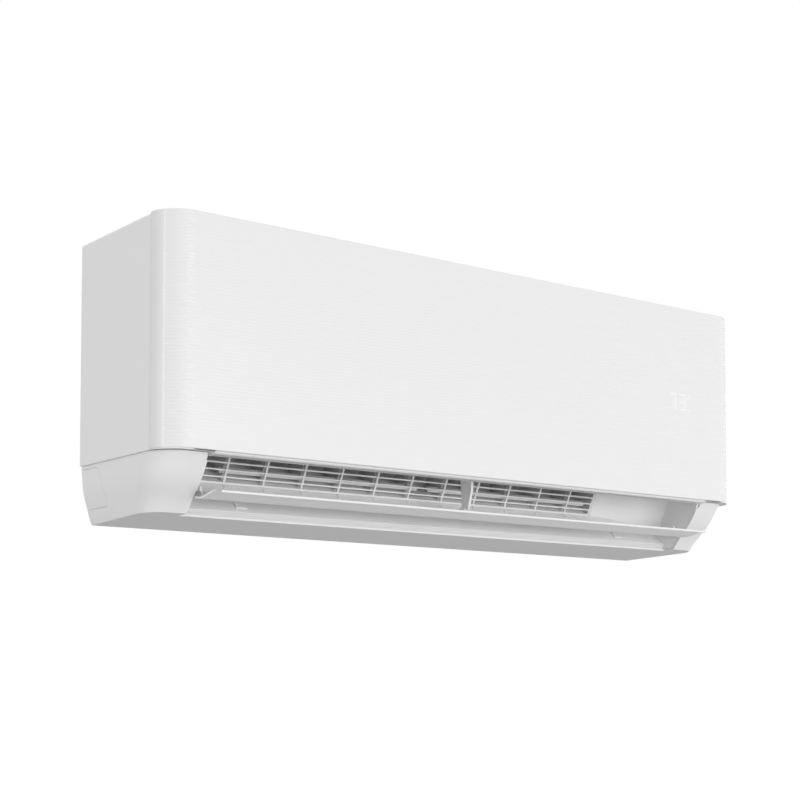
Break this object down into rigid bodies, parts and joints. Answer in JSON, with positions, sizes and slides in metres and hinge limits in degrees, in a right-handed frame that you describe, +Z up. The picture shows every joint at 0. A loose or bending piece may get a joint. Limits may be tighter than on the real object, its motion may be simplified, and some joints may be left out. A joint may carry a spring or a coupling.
{
  "type": "mini split indoor unit",
  "caption": "Wall-hung indoor unit of a split air conditioner, with a finely ribbed white front panel, open louver, steering vanes and cross-flow fan.",
  "frame": {"origin": "centre of the wall plate's rear face, on the wall", "axes": "+Z up, +Y towards the wall, +X to the right seen from the front"},
  "size_m": [0.818, 0.1833, 0.297],
  "materials": {
    "casing_white": "satin moulded white",
    "panel_white": "satin moulded white with fine raised lines",
    "louver_white": "satin moulded white",
    "duct_white": "matt moulded off-white",
    "guard_white": "matt moulded off-white",
    "chassis_grey": "matt moulded light grey",
    "vane_grey": "matt moulded dark grey",
    "fan_grey": "matt moulded charcoal",
    "dark_plastic": "matt black",
    "filter_frame": "matt pale grey frame and fine net",
    "plate_steel": "zinc-coated sheet",
    "motor_steel": "bright can",
    "shaft_steel": "ground steel",
    "fin_aluminium": "thin bare fins",
    "copper": "bare copper",
    "brass_nut": "turned brass",
    "rubber": "soft black rubber",
    "bush_bronze": "sintered bronze",
    "board_green": "green circuit board with parts",
    "terminal_white": "white terminal moulding",
    "digit_light": "frosted light guide"
  },
  "bodies": {
    "unit": {"wall_plate": "plate_steel", "chassis": "chassis_grey", "front_casing": "casing_white", "lower_casing": "casing_white", "coil_front_lower": "fin_aluminium", "coil_front_upper": "fin_aluminium", "coil_rear": "fin_aluminium", "coil_plate_left": "plate_steel", "coil_plate_right": "plate_steel", "coil_tubes": "copper", "bearing_bush": "bush_bronze", "bearing_rubber": "rubber", "fan_motor": "motor_steel", "motor_clamp": "plate_steel", "motor_screws": "shaft_steel", "control_box": "dark_plastic", "control_box_lid": "plate_steel", "main_board": "board_green", "terminal_block": "terminal_white", "cable_clamp": "dark_plastic", "display_board": "board_green", "display_digits": "digit_light", "outlet_duct": "duct_white", "outlet_guard": "guard_white", "louver_bracket": "duct_white", "louver_motor": "motor_steel", "drain_spout": "dark_plastic", "drain_plug": "rubber", "liquid_pipe": "copper", "suction_pipe": "copper", "liquid_flare_nut": "brass_nut", "suction_flare_nut": "brass_nut", "pipe_cover_left": "casing_white", "pipe_cover_right": "casing_white", "casing_screws": "shaft_steel", "button_spring": "shaft_steel", "coil_sensor": "copper", "room_sensor": "dark_plastic"},
    "panel": {"front_panel": "panel_white"},
    "louver": {"louver": "louver_white"},
    "fan": {"fan_wheel": "fan_grey", "fan_end_shaft": "shaft_steel", "motor_shaft": "shaft_steel"},
    "filter_left": {"filter_left": "filter_frame"},
    "filter_right": {"filter_right": "filter_frame"},
    "button": {"manual_button": "dark_plastic"},
    "link_left": {"vane_link_left": "guard_white"},
    "link_right": {"vane_link_right": "guard_white"},
    "vane_01": {"vane_01": "vane_grey"},
    "vane_02": {"vane_02": "vane_grey"},
    "vane_03": {"vane_03": "vane_grey"},
    "vane_04": {"vane_04": "vane_grey"},
    "vane_05": {"vane_05": "vane_grey"},
    "vane_06": {"vane_06": "vane_grey"},
    "vane_07": {"vane_07": "vane_grey"},
    "vane_08": {"vane_08": "vane_grey"},
    "vane_09": {"vane_09": "vane_grey"},
    "vane_10": {"vane_10": "vane_grey"},
    "vane_11": {"vane_11": "vane_grey"}
  },
  "joints": [
    {"name": "panel_hinge", "type": "hinge", "parent": "unit", "child": "panel", "pos_m": [0, -0.1765, 0.1435], "axis": [-1, 0, 0], "range_deg": [0, 60]},
    {"name": "louver_swing", "type": "hinge", "parent": "unit", "child": "louver", "pos_m": [0, -0.1315, -0.1205], "axis": [1, 0, 0], "range_deg": [-44, 20]},
    {"name": "fan_spin", "type": "hinge", "parent": "unit", "child": "fan", "pos_m": [0, -0.085, -0.008], "axis": [-1, 0, 0], "continuous": true},
    {"name": "filter_left_slide", "type": "slide", "parent": "unit", "child": "filter_left", "axis": [0, 0, 1], "range_m": [0, 0.16]},
    {"name": "filter_right_slide", "type": "slide", "parent": "unit", "child": "filter_right", "axis": [0, 0, 1], "range_m": [0, 0.16]},
    {"name": "button_press", "type": "slide", "parent": "unit", "child": "button", "axis": [0, 1, 0], "range_m": [0, 0.0012], "stiffness_N_per_m": 600, "springref_m": -0.001, "deforming": ["button_spring"]},
    {"name": "link_left_slide", "type": "slide", "parent": "unit", "child": "link_left", "axis": [1, 0, 0], "range_m": [-0.007, 0.007]},
    {"name": "vane_01_turn", "type": "hinge", "parent": "unit", "child": "vane_01", "pos_m": [-0.2808, -0.05952, -0.08852], "axis": [0, -0.7071, 0.7071], "range_deg": [-35.1, 35.1]},
    {"name": "vane_02_turn", "type": "hinge", "parent": "unit", "child": "vane_02", "pos_m": [-0.2319, -0.05952, -0.08852], "axis": [0, -0.7071, 0.7071], "range_deg": [-35.1, 35.1]},
    {"name": "vane_03_turn", "type": "hinge", "parent": "unit", "child": "vane_03", "pos_m": [-0.183, -0.05952, -0.08852], "axis": [0, -0.7071, 0.7071], "range_deg": [-35.1, 35.1]},
    {"name": "vane_04_turn", "type": "hinge", "parent": "unit", "child": "vane_04", "pos_m": [-0.1341, -0.05952, -0.08852], "axis": [0, -0.7071, 0.7071], "range_deg": [-35.1, 35.1]},
    {"name": "vane_05_turn", "type": "hinge", "parent": "unit", "child": "vane_05", "pos_m": [-0.0852, -0.05952, -0.08852], "axis": [0, -0.7071, 0.7071], "range_deg": [-35.1, 35.1]},
    {"name": "vane_06_turn", "type": "hinge", "parent": "unit", "child": "vane_06", "pos_m": [-0.0363, -0.05952, -0.08852], "axis": [0, -0.7071, 0.7071], "range_deg": [-35.1, 35.1]},
    {"name": "link_right_slide", "type": "slide", "parent": "unit", "child": "link_right", "axis": [1, 0, 0], "range_m": [-0.007, 0.007]},
    {"name": "vane_07_turn", "type": "hinge", "parent": "unit", "child": "vane_07", "pos_m": [0.0126, -0.05952, -0.08852], "axis": [0, -0.7071, 0.7071], "range_deg": [-35.1, 35.1]},
    {"name": "vane_08_turn", "type": "hinge", "parent": "unit", "child": "vane_08", "pos_m": [0.0615, -0.05952, -0.08852], "axis": [0, -0.7071, 0.7071], "range_deg": [-35.1, 35.1]},
    {"name": "vane_09_turn", "type": "hinge", "parent": "unit", "child": "vane_09", "pos_m": [0.1104, -0.05952, -0.08852], "axis": [0, -0.7071, 0.7071], "range_deg": [-35.1, 35.1]},
    {"name": "vane_10_turn", "type": "hinge", "parent": "unit", "child": "vane_10", "pos_m": [0.1593, -0.05952, -0.08852], "axis": [0, -0.7071, 0.7071], "range_deg": [-35.1, 35.1]},
    {"name": "vane_11_turn", "type": "hinge", "parent": "unit", "child": "vane_11", "pos_m": [0.2082, -0.05952, -0.08852], "axis": [0, -0.7071, 0.7071], "range_deg": [-35.1, 35.1]}
  ],
  "couplings": [
    {"joint": "vane_01_turn", "follows": "link_left_slide", "rad_per_m": 87.26},
    {"joint": "vane_02_turn", "follows": "link_left_slide", "rad_per_m": 87.26},
    {"joint": "vane_03_turn", "follows": "link_left_slide", "rad_per_m": 87.26},
    {"joint": "vane_04_turn", "follows": "link_left_slide", "rad_per_m": 87.26},
    {"joint": "vane_05_turn", "follows": "link_left_slide", "rad_per_m": 87.26},
    {"joint": "vane_06_turn", "follows": "link_left_slide", "rad_per_m": 87.26},
    {"joint": "vane_07_turn", "follows": "link_right_slide", "rad_per_m": 87.26},
    {"joint": "vane_08_turn", "follows": "link_right_slide", "rad_per_m": 87.26},
    {"joint": "vane_09_turn", "follows": "link_right_slide", "rad_per_m": 87.26},
    {"joint": "vane_10_turn", "follows": "link_right_slide", "rad_per_m": 87.26},
    {"joint": "vane_11_turn", "follows": "link_right_slide", "rad_per_m": 87.26}
  ]
}
